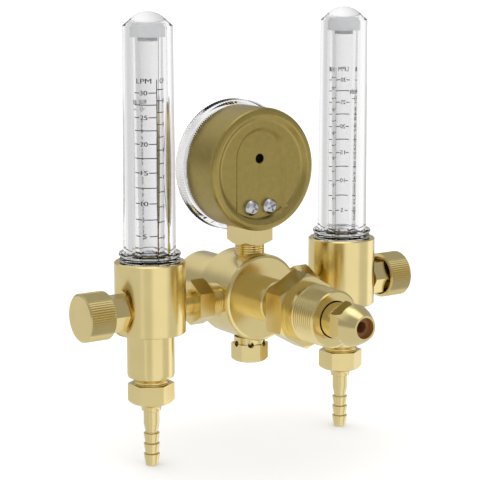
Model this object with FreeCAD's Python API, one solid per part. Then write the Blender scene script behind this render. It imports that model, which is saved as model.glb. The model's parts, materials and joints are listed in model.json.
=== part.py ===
import FreeCAD, Part
import math
import os

# Twin-flowmeter shielding-gas regulator: a preset brass regulator with a cylinder gauge and two flow tubes.
#
# Millimetres. +Z is up, the two flowmeters stand on a line along X, and the cylinder inlet points along -Y.
# Every piece is drawn about the crossing of the inlet axis and the flowmeter line. All of it is then moved
# along Y, so that the origin lies on the inlet axis where the nut's thread begins.

Vector = FreeCAD.Vector

# ---- driving dimensions ----------------------------------------------------------------------------
FLOW_X = 51.7            # half the distance between the two flowmeter axes
RUN = 0.08               # radial clearance of a running fit
SLIP = 0.1               # radial clearance of a screwed or dropped-in piece

# regulator body, stations measured from the centre towards the inlet
BARREL_R = 19.3
BARREL_FRONT = 10.5
BARREL_REAR = -13.0
BOSS_R = 9.7
BOSS_END = 22.5
CHAMBER_R = 13.0
CHAMBER_FLOOR = 2.5
DIAPHRAGM_SEAT = -2.5
BONNET_BORE_R = 15.2
NOZZLE_R = 5.0
NOZZLE_END = 8.0
NIPPLE_THREAD_R = 6.5

# bonnet and range spring
BONNET_R = 13.6
BONNET_END = -41.0
SPRING_BORE_R = 10.4
BONNET_WALL = 5.0
SCREW_R = 4.0
RANGE_SPRING_R = 8.0
RANGE_WIRE_R = 1.1
PLATE_FRONT = -2.9
PLATE_REAR = -4.6

# inlet nut with a 0.965 in thread and a 1 1/8 in hexagon, and the bullet-nosed nipple
NUT_AF = 28.575
NUT_REAR = 32.4
NUT_HEX_END = 43.4
NUT_COLLAR_R = 12.55
NUT_COLLAR_END = 49.0
INLET_THREAD_R = 12.25
INLET_PITCH = 25.4 / 18
INLET_RIDGES = 9
NUT_FACE = 61.5
NUT_BORE_R = 7.95
NECK_R = 7.55
NOSE_AF = 16.2
NOSE_BACK = 68.5
NOSE_TIP = 81.3
NOSE_R = 9.3
FILTER_R = 4.3

# cylinder gauge, 2 1/4 in class
GAUGE_Z = 56.8
CASE_R = 26.95
CASE_BACK = 10.9
CASE_FRONT = -10.2
CASE_WALL = 0.8
DISH_R = 20.8             # flat floor of the shallow dish in the case back
DISH_DEPTH = 1.8
RECESS_DEPTH = 3.4        # arched recess for the socket screws, from the rim of the case back
LENS_R = 29.2
LENS_BACK = -8.8
LENS_EDGE = -15.2
LENS_FACE = -17.2
LENS_SERRATIONS = 150
DIAL_R = 25.6
SOCKET_SIDE = 14.5
SOCKET_BOTTOM = 25.1
GAUGE_THREAD_R = 6.55
GAUGE_THREAD_END = 15.3
CASE_SCREW_X = 4.8
CASE_SCREW_DROP = 16.6
POINTER_ZERO = 315.0     # angle of the zero mark, anticlockwise from +X as seen from the inlet side

# gauge movement
GEAR_MODULE = 0.45
PINION_TEETH = 12
SECTOR_TEETH = 60
MOVEMENT_FRONT = -8.6
MOVEMENT_REAR = -1.6
PLATE_T = 0.8
GEAR_FRONT = -6.2
GEAR_REAR = -5.0
SECTOR_TAIL = 6.0
TAIL_ANGLE = 200.0
BOURDON_R = 19.0
BOURDON_TIP = 172.0
BOURDON_ROOT = -76.0
SOCKET_INNER_FRONT = -1.2

# relief valve, 9/16 in hexagon
RELIEF_AF = 14.29
RELIEF_THREAD_R = 5.4
RELIEF_THREAD_END = -15.6
PORT_SEAT = 0.5          # depth of the flat round seat around each port of the barrel
RELIEF_COLLAR_R = 6.95
RELIEF_JOINT_Z = -21.8
RELIEF_END_Z = -29.8
RELIEF_SEAT_Z = -20.4
VENT_R = 1.35

# flowmeter body and its clear tubes
FLOW_R = 15.25
FLOW_TOP = 20.75
FLOW_BOTTOM = -10.2
OUTLET_R = 10.2
OUTLET_END = -30.0
SPOT_R = 10.0
SPOT_X = 14.6            # outer face of the valve's spot face, from the flowmeter axis
COVER_TOP_R = 10.55
COVER_FOOT_R = 11.2
COVER_BORE_R = 7.8
COVER_FOOT_Z = 25.1
COVER_SHOULDER_Z = 119.8
COVER_APEX_Z = 125.7
FLANGE_R = 13.25
FLANGE_WAIST_R = 12.0
SOCKET_R = 10.4
SOCKET_FLOOR = 10.0
METER_R = 6.35
METER_BASE = 12.0
METER_TOP = 115.2
METER_BORE_FOOT = 3.35
METER_BORE_TOP = 4.3
CAP_R = 7.34
CAP_TOP = 120.2
BALL_R = 3.175
BALL_Z = 22.6
BALL_SEAT_R = 1.9

# needle valve, stations measured outwards from the flowmeter axis
GLAND_AF = 14.5
GLAND_END = 25.6
GLAND_THREAD_R = 5.5
STEM_R = 2.0
STEM_TIP = 3.0
KNOB_R = 10.35
KNOB_BACK = 22.3
KNOB_FACE = 34.3
KNOB_CUP_R = 8.9
KNOB_FLUTES = 60

# outlet nut (11/16 in hexagon) and 1/4 in hose barb
OUTLET_AF = 17.46
STUD_R = 7.6
STUD_END = -36.4
OUTLET_NUT_TOP = -32.6
OUTLET_NUT_END = -41.1
NUT_NECK_END = -44.6
BARB_COLLAR_R = 3.65      # the part of the hose tail inside its nut
BARB_COLLAR_END = -44.9
BARB_R = 3.4
BARB_ROOT_R = 2.6
BARB_BORE_R = 1.8
SHANK_END = -50.6
BARB_FIRST = -54.9
BARB_PITCH = 4.65
BARB_TIP = -69.35

# connectors between the body and the flowmeters, stations measured outwards from the centre
LINK_AF = 17.5
LINK_BODY_R = 7.4
LINK_FLOW_R = 4.86
LINK_BORE_R = 2.2

ORIGIN_SHIFT = Vector(0, NUT_COLLAR_END, 0)
TO_INLET = FreeCAD.Rotation(Vector(1, 0, 0), 90)
TO_RIGHT = FreeCAD.Rotation(Vector(0, 1, 0), 90)
TO_LEFT = FreeCAD.Rotation(Vector(0, 1, 0), -90)
UPRIGHT = FreeCAD.Rotation()


# ---- building blocks, all drawn along local +Z -----------------------------------------------------
def rod(radius, low, high, x=0.0, y=0.0):
    """A cylinder from low to high."""
    return Part.makeCylinder(radius, high - low, Vector(x, y, low))


def cone(low_radius, high_radius, low, high):
    """A cone frustum from low to high."""
    return Part.makeCone(low_radius, high_radius, high - low, Vector(0, 0, low))


def turned(profile):
    """A solid of revolution from (radius, height) points; the outline closes on its first point.

    A point with four numbers ends an arc: its first two are a point that the arc passes through.
    """
    edges = []
    here = Vector(profile[0][0], 0, profile[0][1])
    for step in profile[1:] + profile[:1]:
        there = Vector(step[-2], 0, step[-1])
        if len(step) == 4:
            edges.append(Part.Arc(here, Vector(step[0], 0, step[1]), there).toShape())
        else:
            edges.append(Part.makeLine(here, there))
        here = there
    return Part.Face(Part.Wire(edges)).revolve(Vector(0, 0, 0), Vector(0, 0, 1), 360)


def washer(outer, inner, low, high):
    """A plain ring."""
    return turned([(inner, low), (outer, low), (outer, high), (inner, high)])


def hexagon(across_flats, low, high, vertex_angle=0.0):
    """A hexagonal prism with a vertex at vertex_angle degrees."""
    radius = across_flats / math.sqrt(3)
    angles = [math.radians(vertex_angle + 60 * step) for step in range(7)]
    points = [Vector(radius * math.cos(a), radius * math.sin(a), low) for a in angles]
    return Part.Face(Part.makePolygon(points)).extrude(Vector(0, 0, high - low))


def chamfered_hexagon(across_flats, low, high, vertex_angle, low_cut, high_cut):
    """A hexagonal prism whose corners are turned off at about 30 degrees at either end."""
    corner = across_flats / math.sqrt(3)
    reach = corner + 0.01
    envelope = turned(
        [
            (0, low),
            (reach - low_cut, low),
            (reach, low + low_cut * 0.6),
            (reach, high - high_cut * 0.6),
            (reach - high_cut, high),
            (0, high),
        ]
    )
    return hexagon(across_flats, low, high, vertex_angle).common(envelope)


def serrated(radius, depth, count, low, high):
    """A disc with straight V-shaped ridges around its edge."""
    points = []
    for step in range(2 * count):
        angle = math.pi * step / count
        reach = radius if step % 2 == 0 else radius - depth
        points.append(Vector(reach * math.cos(angle), reach * math.sin(angle), low))
    return Part.Face(Part.makePolygon(points + points[:1])).extrude(Vector(0, 0, high - low))


def ridges(radius, depth, start, pitch, count):
    """Outline points of a thread drawn as level ridges, each with a narrow flat crest at radius."""
    points = []
    for step in range(count):
        base = start + step * pitch
        points.append((radius, base))
        points.append((radius, base + 0.3 * pitch))
        if step < count - 1:
            points.append((radius - depth, base + 0.65 * pitch))
    return points


def threaded(radius, depth, low, high, pitch=1.0):
    """A threaded rod that fills low to high with whole ridges."""
    count = max(2, int(round((high - low) / pitch)))
    step = (high - low) / (count - 0.7)
    return turned([(0, low)] + ridges(radius, depth, low, step, count) + [(0, high)])


def ring_seal(radius, section, height):
    """An O-ring."""
    return Part.makeTorus(radius, section, Vector(0, 0, height))


def coil(radius, wire, low, high, turns):
    """A round-wire compression spring between two planes."""
    rise = high - low - 2 * wire
    helix = Part.Wire(Part.makeHelix(rise / turns, rise, radius))
    section = Part.Wire(Part.makeCircle(wire, Vector(radius, 0, 0), Vector(0, 1, 0)))
    spring = helix.makePipeShell([section], True, True)
    spring.translate(Vector(0, 0, low + wire))
    return spring


def oriented(shape, rotation, at=Vector(0, 0, 0)):
    """The shape turned from local +Z to its own axis and moved to a point on that axis."""
    placed = shape.copy()
    placed.Placement = FreeCAD.Placement(at, rotation).multiply(placed.Placement)
    return placed


def bored(shape, *cutters):
    """The shape with every cutter taken away."""
    for cutter in cutters:
        shape = shape.cut(cutter)
    return shape


def joined(first, *others):
    """One solid from pieces that overlap."""
    for other in others:
        first = first.fuse(other)
    return first.removeSplitter()


# ---- regulator body --------------------------------------------------------------------------------
def regulator_body():
    """The turned barrel with its inlet boss, chamber and five ports."""
    edge = 1.4
    outside = [
        (0, BARREL_REAR),
        (BARREL_R - 0.8, BARREL_REAR),
        (BARREL_R, BARREL_REAR + 0.8),
        (BARREL_R, BARREL_FRONT - edge),
        (BARREL_R - 0.4 * edge, BARREL_FRONT - 0.3 * edge),
        (BARREL_R - edge, BARREL_FRONT),
        (BOSS_R, BARREL_FRONT),
        (BOSS_R, BOSS_END - 0.6),
        (BOSS_R - 0.6, BOSS_END),
        (0, BOSS_END),
    ]
    inside = [
        (0, BARREL_REAR - 1),
        (BONNET_BORE_R, BARREL_REAR - 1),
        (BONNET_BORE_R, DIAPHRAGM_SEAT),
        (CHAMBER_R, DIAPHRAGM_SEAT),
        (CHAMBER_R, CHAMBER_FLOOR),
        (NOZZLE_R, CHAMBER_FLOOR),
        (NOZZLE_R, BARREL_FRONT + 3),
        (NIPPLE_THREAD_R, BARREL_FRONT + 3),
        (NIPPLE_THREAD_R, BOSS_END + 1),
        (0, BOSS_END + 1),
    ]
    body = oriented(bored(turned(outside), turned(inside)), TO_INLET)
    for side in (TO_RIGHT, TO_LEFT):
        port = rod(LINK_BODY_R + SLIP, BARREL_R - 3.7, BARREL_R + 1)
        seat = rod(LINK_BODY_R + 1.4, BARREL_R - PORT_SEAT, BARREL_R + 1)
        passage = rod(LINK_BORE_R - 0.8, CHAMBER_R - 1, BARREL_R)
        body = bored(body, *[oriented(cutter, side) for cutter in (port, seat, passage)])
    gauge_port = rod(GAUGE_THREAD_R + SLIP, GAUGE_THREAD_END - 0.3, BARREL_R + 1)
    gauge_seat = rod(GAUGE_THREAD_R + 1.2, BARREL_R - PORT_SEAT, BARREL_R + 1)
    top, low = Vector(0, -5.0, GAUGE_THREAD_END), Vector(0, -11.0, 3.0)
    gauge_way = Part.makeCylinder(1.0, (low - top).Length, top, low - top)
    relief_port = rod(RELIEF_THREAD_R + SLIP, -BARREL_R - 1, RELIEF_THREAD_END + 0.1)
    relief_seat = rod(RELIEF_COLLAR_R + 1.0, -BARREL_R - 1, -BARREL_R + PORT_SEAT)
    relief_way = rod(1.5, -BARREL_R, -CHAMBER_R + 1)
    return bored(body, gauge_port, gauge_seat, gauge_way, relief_port, relief_seat, relief_way)


def bonnet():
    """The rear spring housing, screwed into the barrel behind the diaphragm."""
    inner_end = DIAPHRAGM_SEAT - 1.0
    outside = [
        (0, BONNET_END),
        (BONNET_R - 1.5, BONNET_END),
        (BONNET_R - 0.4, BONNET_END + 0.5),
        (BONNET_R, BONNET_END + 1.6),
        (BONNET_R, BARREL_REAR - 0.8),
        (BONNET_BORE_R - SLIP, BARREL_REAR),
        (BONNET_BORE_R - SLIP, inner_end),
        (0, inner_end),
    ]
    floor = BONNET_END + BONNET_WALL
    shell = bored(
        turned(outside),
        rod(SPRING_BORE_R, floor, 0),
        rod(SCREW_R + SLIP, BONNET_END - 1, floor + 1),
    )
    flat = BONNET_R - 1.4
    for sign in (-1, 1):
        cutter = Part.makeBox(4, 40, 8, Vector(flat if sign > 0 else -flat - 4, -20, BONNET_END - 1))
        shell = shell.cut(cutter)
    vent = oriented(rod(0.9, 0, 20), FreeCAD.Rotation(Vector(1, 0, 0), 90), Vector(0, 0, BONNET_END + 18))
    return oriented(bored(shell, vent), TO_INLET)


def adjusting_screw():
    """The slotted screw that presets the delivery pressure."""
    low, high = BONNET_END - 6.5, BONNET_END + 7.5
    slot = Part.makeBox(1.2, 12, 2.0, Vector(-0.6, -6, low - 0.5))
    return oriented(threaded(SCREW_R, 0.45, low, high, 1.25).cut(slot), TO_INLET)


def lock_nut():
    """The thin nut that locks the adjusting screw."""
    low, high = BONNET_END - 4.6, BONNET_END - 0.1
    blank = chamfered_hexagon(13.0, low, high, 30, 0.8, 0.8)
    return oriented(blank.cut(rod(SCREW_R + SLIP, low - 1, high + 1)), TO_INLET)


def spring_button():
    """The domed seat between the adjusting screw and the range spring."""
    back = BONNET_END + 7.6
    outline = [(0, back), (4.5, back), (9.6, back + 1.4), (9.6, back + 2.6), (6.2, back + 2.6)]
    return oriented(turned(outline + [(6.2, back + 5.0), (0, back + 5.0)]), TO_INLET)


def range_spring():
    """The main spring behind the diaphragm."""
    low, high = BONNET_END + 10.3, PLATE_REAR - 0.1
    return oriented(coil(RANGE_SPRING_R, RANGE_WIRE_R, low, high, 5.5), TO_INLET)


def slip_ring():
    """The brass ring that lets the bonnet turn without wrinkling the diaphragm."""
    low, high = DIAPHRAGM_SEAT - 0.95, DIAPHRAGM_SEAT - 0.4
    return oriented(washer(BONNET_BORE_R - 0.2, CHAMBER_R, low, high), TO_INLET)


def diaphragm():
    """The thin rubber disc that the delivery pressure works against."""
    return oriented(rod(BONNET_BORE_R - 0.2, DIAPHRAGM_SEAT - 0.35, DIAPHRAGM_SEAT - 0.02), TO_INLET)


def diaphragm_plate():
    """The stiff plate that carries the range spring."""
    low, high = PLATE_REAR, PLATE_FRONT
    outline = [(0, high), (9.8, high), (9.8, low), (6.4, low), (6.4, low - 1.8), (0, low - 1.8)]
    return oriented(turned(outline), TO_INLET)


def seat_nozzle():
    """The valve seat, screwed into the chamber floor."""
    orifice = 1.3
    outline = [
        (orifice, CHAMBER_FLOOR - 1.2),
        (6.4, CHAMBER_FLOOR - 1.2),
        (6.4, CHAMBER_FLOOR - 0.02),
        (NOZZLE_R - SLIP, CHAMBER_FLOOR - 0.02),
        (NOZZLE_R - SLIP, NOZZLE_END - 0.6),
        (2.2, NOZZLE_END - 0.6),
        (orifice + 0.3, NOZZLE_END),
        (orifice, NOZZLE_END),
    ]
    return oriented(turned(outline), TO_INLET)


def valve_poppet():
    """The high-pressure valve: a faced head with a pin that reaches the diaphragm."""
    head = NOZZLE_END + 0.02
    outline = [
        (0, DIAPHRAGM_SEAT + 0.02),
        (0.9, DIAPHRAGM_SEAT + 0.02),
        (0.9, head),
        (3.3, head),
        (3.3, head + 2.6),
        (1.6, head + 2.6),
        (1.6, head + 4.4),
        (0, head + 4.4),
    ]
    return oriented(turned(outline), TO_INLET)


def poppet_spring():
    """The small spring that shuts the valve."""
    return oriented(coil(2.5, 0.35, NOZZLE_END + 2.7, NOZZLE_END + 7.4, 4.5), TO_INLET)


# ---- inlet -----------------------------------------------------------------------------------------
def inlet_nipple():
    """The bullet-nosed nipple: a threaded tail, a plain neck and a nose turned on a hexagon."""
    tail = threaded(NIPPLE_THREAD_R - SLIP, 0.5, NOZZLE_END + 8.2, BOSS_END - 0.1, 1.2)
    neck = turned(
        [
            (0, BOSS_END - 0.2),
            (NIPPLE_THREAD_R - 0.8, BOSS_END - 0.2),
            (NIPPLE_THREAD_R - 0.8, BOSS_END + 0.05),
            (NECK_R, BOSS_END + 0.05),
            (NECK_R, NOSE_BACK + 1),
            (0, NOSE_BACK + 1),
        ]
    )
    length = NOSE_TIP - NOSE_BACK
    shoulder = NOSE_BACK + 0.2 * length
    bullet = turned(
        [
            (0, NOSE_BACK),
            (NOSE_R, NOSE_BACK),
            (NOSE_R, shoulder),
            (NOSE_R - 1.35, NOSE_BACK + 0.62 * length, FILTER_R + 1.0, NOSE_TIP),
            (0, NOSE_TIP),
        ]
    )
    hexed = hexagon(NOSE_AF, NOSE_BACK, NOSE_BACK + 0.45 * length, 90)
    round_end = rod(NOSE_R + 1, NOSE_BACK + 0.45 * length - 0.01, NOSE_TIP)
    nose = bullet.common(hexed.fuse(round_end))
    blank = joined(tail, neck, nose)
    bore = rod(2.2, 0, NOSE_TIP)
    pocket = rod(FILTER_R + 0.05, NOSE_TIP - 9.6, NOSE_TIP + 1)
    return oriented(bored(blank, bore, pocket), TO_INLET)


def inlet_filter():
    """The sintered filter cup pressed into the nipple's mouth."""
    low, high = NOSE_TIP - 9.5, NOSE_TIP - 2.6
    outline = [(0, low), (FILTER_R, low), (FILTER_R, high), (2.4, high), (1.9, high - 4.5), (0, high - 4.5)]
    return oriented(turned(outline), TO_INLET)


def inlet_nut():
    """The captive inlet nut: hexagon, plain collar and male thread, free to spin on the nipple's neck."""
    head = chamfered_hexagon(NUT_AF, NUT_REAR, NUT_HEX_END, 90, 1.0, 1.5)
    thread_end = NUT_COLLAR_END + (INLET_RIDGES - 0.7) * INLET_PITCH
    outline = [(0, NUT_HEX_END - 1), (NUT_COLLAR_R + 0.3, NUT_HEX_END - 1), (NUT_COLLAR_R, NUT_HEX_END + 0.8)]
    outline += [(NUT_COLLAR_R, NUT_COLLAR_END - 0.8), (INLET_THREAD_R - 0.6, NUT_COLLAR_END - 0.4)]
    outline += ridges(INLET_THREAD_R, 0.75, NUT_COLLAR_END, INLET_PITCH, INLET_RIDGES)
    outline += [(INLET_THREAD_R - 0.5, thread_end + 0.3), (INLET_THREAD_R - 0.9, NUT_FACE), (0, NUT_FACE)]
    nut = joined(head, turned(outline))
    bore = rod(NUT_BORE_R, NUT_REAR - 1, NUT_FACE + 1)
    relief = cone(NUT_BORE_R + 1.2, NUT_BORE_R, NUT_REAR - 0.01, NUT_REAR + 1.2)
    return oriented(bored(nut, bore, relief), TO_INLET)


# ---- relief valve ----------------------------------------------------------------------------------
def vents():
    """Six radial vent drillings, one through the middle of each flat."""
    drills = []
    for step in range(6):
        turn = FreeCAD.Rotation(Vector(0, 0, 1), 60 * step).multiply(TO_RIGHT)
        drills.append(oriented(rod(VENT_R, 3.0, 12), turn, Vector(0, 0, RELIEF_JOINT_Z)))
    return drills


def relief_body():
    """The relief valve's stem, screwed into the underside of the barrel."""
    outline = [
        (1.5, RELIEF_THREAD_END),
        (RELIEF_THREAD_R, RELIEF_THREAD_END),
        (RELIEF_THREAD_R, -BARREL_R + PORT_SEAT),
        (RELIEF_COLLAR_R, -BARREL_R + PORT_SEAT),
        (RELIEF_COLLAR_R, RELIEF_JOINT_Z),
        (5.5, RELIEF_JOINT_Z),
        (5.5, RELIEF_JOINT_Z - 2.4),
        (4.2, RELIEF_JOINT_Z - 2.4),
        (4.2, RELIEF_SEAT_Z - 0.4),
        (2.2, RELIEF_SEAT_Z - 0.4),
        (1.8, RELIEF_SEAT_Z),
        (1.5, RELIEF_SEAT_Z),
    ]
    return bored(turned(outline), *vents())


def relief_cap():
    """The hexagonal cap that holds the relief spring."""
    low, high = RELIEF_END_Z, RELIEF_JOINT_Z - 0.05
    blank = chamfered_hexagon(RELIEF_AF, low, high, 30, 1.5, 0.3)
    hollow = rod(4.2, RELIEF_END_Z + 1.3, RELIEF_JOINT_Z)
    thread = rod(5.5 + SLIP, RELIEF_JOINT_Z - 2.6, RELIEF_JOINT_Z)
    return bored(blank, hollow, thread, *vents())


def relief_poppet():
    """The spring-loaded disc that seals the relief valve."""
    face = RELIEF_SEAT_Z - 0.45
    outline = [(0, face), (3.4, face), (3.4, face - 1.5), (1.5, face - 1.5), (1.5, face - 3.2), (0, face - 3.2)]
    return turned(outline)


def relief_spring():
    """The light spring under the relief disc."""
    return coil(2.4, 0.35, RELIEF_END_Z + 1.32, RELIEF_SEAT_Z - 1.97, 5)


# ---- cylinder gauge --------------------------------------------------------------------------------
def recess_outline(half_width, head, foot_r, station):
    """Outline of the recess at one station: round head, straight sides, and a foot concentric with the dial."""
    middle = head - half_width
    foot = -math.sqrt(foot_r**2 - half_width**2)
    left, right = Vector(-half_width, middle, station), Vector(half_width, middle, station)
    low_left, low_right = Vector(-half_width, foot, station), Vector(half_width, foot, station)
    edges = [
        Part.Arc(left, Vector(0, head, station), right).toShape(),
        Part.makeLine(right, low_right),
        Part.Arc(low_right, Vector(0, -foot_r, station), low_left).toShape(),
        Part.makeLine(low_left, left),
    ]
    return Part.Wire(edges)


def recess(grow, front, back):
    """The arched recess as a solid that widens from the front station to the back one."""
    floor = recess_outline(11.8 + grow, 16.6 + grow, 21.5 + grow, front)
    mouth = recess_outline(14.0 + grow, 18.9 + grow, 23.8 + grow, back)
    return Part.makeLoft([floor, mouth], True, True)


def case_outline(back, inset):
    """Outline points of the case back from its centre to its side, for the outer or the inner surface."""
    outer_r = CASE_R - inset
    return [
        (0, back - DISH_DEPTH),
        (DISH_R, back - DISH_DEPTH),
        (DISH_R + 1.0, back - DISH_DEPTH + 0.35),
        (DISH_R + 2.6, back - 0.25),
        (DISH_R + 3.4, back),
        (outer_r - 1.5, back - 0.15),
        (outer_r - 0.6, back - 0.6),
        (outer_r - 0.15, back - 1.3),
        (outer_r, back - 2.2),
    ]


def gauge_case():
    """The drawn steel case with a dished back and an arched recess for the socket screws."""
    back, front, wall = CASE_BACK, CASE_FRONT, CASE_WALL
    outline = case_outline(back, 0.0) + [(CASE_R, front), (CASE_R - wall, front)]
    outline += case_outline(back - wall, wall)[::-1]
    floor = back - RECESS_DEPTH
    top = back - DISH_DEPTH + 0.6
    pan = recess(wall, floor - wall, top - wall).common(rod(CASE_R - wall, floor - wall, back - 0.1))
    case = joined(turned(outline), pan).cut(recess(0.0, floor, top))
    case = case.cut(rod(2.2, floor - 3, floor + 3, y=4.6))
    for sign in (-1, 1):
        case = case.cut(rod(1.8, floor - 3, floor + 3, x=sign * CASE_SCREW_X, y=-CASE_SCREW_DROP))
    side = SOCKET_SIDE / 2 + 0.15
    doorway = Part.makeBox(2 * side, 12, 2 * side, Vector(-side, -CASE_R - 6, -side))
    return oriented(case.cut(doorway), TO_INLET, Vector(0, 0, GAUGE_Z))


def gauge_lens():
    """The clear screw-on window with a serrated rim."""
    bevel = 1.6
    inner = CASE_R + 0.15
    outside = turned(
        [
            (0, LENS_FACE),
            (LENS_R - bevel - 1.2, LENS_FACE),
            (LENS_R - bevel + 0.3, LENS_EDGE - 0.6),
            (LENS_R, LENS_EDGE + 0.4),
            (LENS_R, LENS_BACK),
            (0, LENS_BACK),
        ]
    )
    rim = serrated(LENS_R, 0.45, LENS_SERRATIONS, LENS_FACE - 1, LENS_BACK + 1)
    bore = rod(inner, CASE_FRONT - 0.2, LENS_BACK + 1)
    hollow = rod(DIAL_R + 0.3, LENS_FACE + 1.8, LENS_BACK)
    return oriented(bored(outside.common(rim), bore, hollow), TO_INLET, Vector(0, 0, GAUGE_Z))


def gauge_dial():
    """The white dial plate in front of the movement."""
    plate = rod(DIAL_R, CASE_FRONT - 0.1, CASE_FRONT + 0.4)
    return oriented(plate.cut(rod(1.6, CASE_FRONT - 2, CASE_FRONT + 2)), TO_INLET, Vector(0, 0, GAUGE_Z))


def polar(radius, degrees, height=0.0):
    """A point in the dial's plane."""
    angle = math.radians(degrees)
    return Vector(radius * math.cos(angle), radius * math.sin(angle), height)


def gauge_pointer():
    """The pointer, standing at the zero mark."""
    low, high = CASE_FRONT - 2.4, CASE_FRONT - 1.9
    tip = polar(20.5, POINTER_ZERO, low)
    tail = polar(-7.5, POINTER_ZERO, low)
    across = polar(1.0, POINTER_ZERO + 90)
    outline = [tip, across * 1.1, tail + across * 1.3, tail - across * 1.3, across * -1.1]
    outline = [Vector(point.x, point.y, low) for point in outline]
    blade = Part.Face(Part.makePolygon(outline + outline[:1])).extrude(Vector(0, 0, high - low))
    hub = rod(2.2, low - 0.6, high + 0.3)
    hole = rod(0.5, low - 2, high + 2)
    return oriented(joined(blade, hub).cut(hole), TO_INLET, Vector(0, 0, GAUGE_Z))


def gear_outline(teeth, height, first, count, phase):
    """Points along count straight-sided teeth, starting at tooth number first."""
    pitch_r = teeth * GEAR_MODULE / 2
    tip_r = pitch_r + 0.75 * GEAR_MODULE
    root_r = pitch_r - 1.15 * GEAR_MODULE
    half = math.degrees(0.19 * math.pi * GEAR_MODULE / pitch_r)
    narrow = 0.62 * half
    wide = 1.35 * half
    points = []
    for index in range(first, first + count):
        centre = phase + 360.0 * index / teeth
        points.append(polar(root_r, centre - wide, height))
        points.append(polar(pitch_r, centre - half, height))
        points.append(polar(tip_r, centre - narrow, height))
        points.append(polar(tip_r, centre + narrow, height))
        points.append(polar(pitch_r, centre + half, height))
        points.append(polar(root_r, centre + wide, height))
    return points


def sector_pivot():
    """The sector's axis below the pointer's, in the dial's plane."""
    return Vector(0, -(PINION_TEETH + SECTOR_TEETH) * GEAR_MODULE / 2, 0)


def pointer_shaft():
    """The pointer's arbor with its pinion."""
    points = gear_outline(PINION_TEETH, GEAR_FRONT - 0.4, 0, PINION_TEETH, 90.0)
    width = Vector(0, 0, GEAR_REAR - GEAR_FRONT + 0.8)
    pinion = Part.Face(Part.makePolygon(points + points[:1])).extrude(width)
    arbor = rod(0.8, MOVEMENT_FRONT + 0.1, MOVEMENT_REAR - 0.1)
    spigot = rod(0.48, CASE_FRONT - 3.2, MOVEMENT_FRONT + 0.2)
    return oriented(joined(pinion, arbor, spigot), TO_INLET, Vector(0, 0, GAUGE_Z))


def sector_gear():
    """The toothed sector, at the zero end of its travel, with a tail for the link."""
    count = 13
    tooth = 360.0 / SECTOR_TEETH
    phase = 90.0 + tooth / 2
    points = gear_outline(SECTOR_TEETH, GEAR_FRONT, -2, count, phase)
    points = [Vector(0, 0, GEAR_FRONT)] + points
    blade = Part.Face(Part.makePolygon(points + points[:1])).extrude(Vector(0, 0, GEAR_REAR - GEAR_FRONT))
    window = 0.62 * SECTOR_TEETH * GEAR_MODULE / 2
    middle = phase + tooth * (count / 2 - 2.5)
    blade = blade.cut(rod(2.6, GEAR_FRONT - 1, GEAR_REAR + 1, *tuple(polar(window, middle))[:2]))
    hub = rod(1.8, GEAR_FRONT - 0.5, GEAR_REAR + 0.5)
    arbor = rod(0.8, MOVEMENT_FRONT + 0.1, MOVEMENT_REAR - 0.1)
    tail_end = polar(SECTOR_TAIL, TAIL_ANGLE)
    tail = Part.makeBox(SECTOR_TAIL, 2.0, GEAR_REAR - GEAR_FRONT, Vector(0, -1.0, GEAR_FRONT))
    tail.rotate(Vector(0, 0, 0), Vector(0, 0, 1), TAIL_ANGLE)
    eye = rod(1.5, GEAR_FRONT, GEAR_REAR, tail_end.x, tail_end.y)
    pin = rod(0.55, GEAR_FRONT - 1.0, GEAR_REAR, tail_end.x, tail_end.y)
    gear = joined(blade, hub, arbor, tail, eye, pin)
    gear.translate(sector_pivot())
    return oriented(gear, TO_INLET, Vector(0, 0, GAUGE_Z))


def gauge_link():
    """The flat link between the sector's tail and the tip of the pressure tube."""
    eye = sector_pivot() + polar(SECTOR_TAIL, TAIL_ANGLE)
    far = polar(BOURDON_R, BOURDON_TIP - 4)
    low, high = GEAR_FRONT - 0.75, GEAR_FRONT - 0.25
    run = far - eye
    bar = Part.makeBox(run.Length, 1.4, high - low, Vector(0, -0.7, low))
    bar.rotate(Vector(0, 0, 0), Vector(0, 0, 1), math.degrees(math.atan2(run.y, run.x)))
    bar.translate(eye)
    ends = [rod(1.2, low, high, end.x, end.y) for end in (eye, far)]
    holes = [rod(0.6, low - 1, high + 1, end.x, end.y) for end in (eye, far)]
    return oriented(bored(joined(bar, *ends), *holes), TO_INLET, Vector(0, 0, GAUGE_Z))


def bourdon_tube():
    """The flattened C-shaped pressure tube with its end plug and the stub that faces the link."""
    half_thick, half_tall = 0.9, 2.6
    front, back = -0.2 - half_tall, -0.2 + half_tall
    section = [
        Vector(BOURDON_R - half_thick, 0, front + 0.6),
        Vector(BOURDON_R, 0, front),
        Vector(BOURDON_R + half_thick, 0, front + 0.6),
        Vector(BOURDON_R + half_thick, 0, back - 0.6),
        Vector(BOURDON_R, 0, back),
        Vector(BOURDON_R - half_thick, 0, back - 0.6),
    ]
    face = Part.Face(Part.makePolygon(section + section[:1]))
    tube = face.revolve(Vector(0, 0, 0), Vector(0, 0, 1), BOURDON_TIP - BOURDON_ROOT)
    tube.rotate(Vector(0, 0, 0), Vector(0, 0, 1), BOURDON_ROOT)
    tip = polar(BOURDON_R, BOURDON_TIP - 4)
    plug = rod(1.6, front - 0.6, back, tip.x, tip.y)
    pin = rod(0.5, GEAR_FRONT, front, tip.x, tip.y)
    return oriented(joined(tube, plug, pin), TO_INLET, Vector(0, 0, GAUGE_Z))


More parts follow.
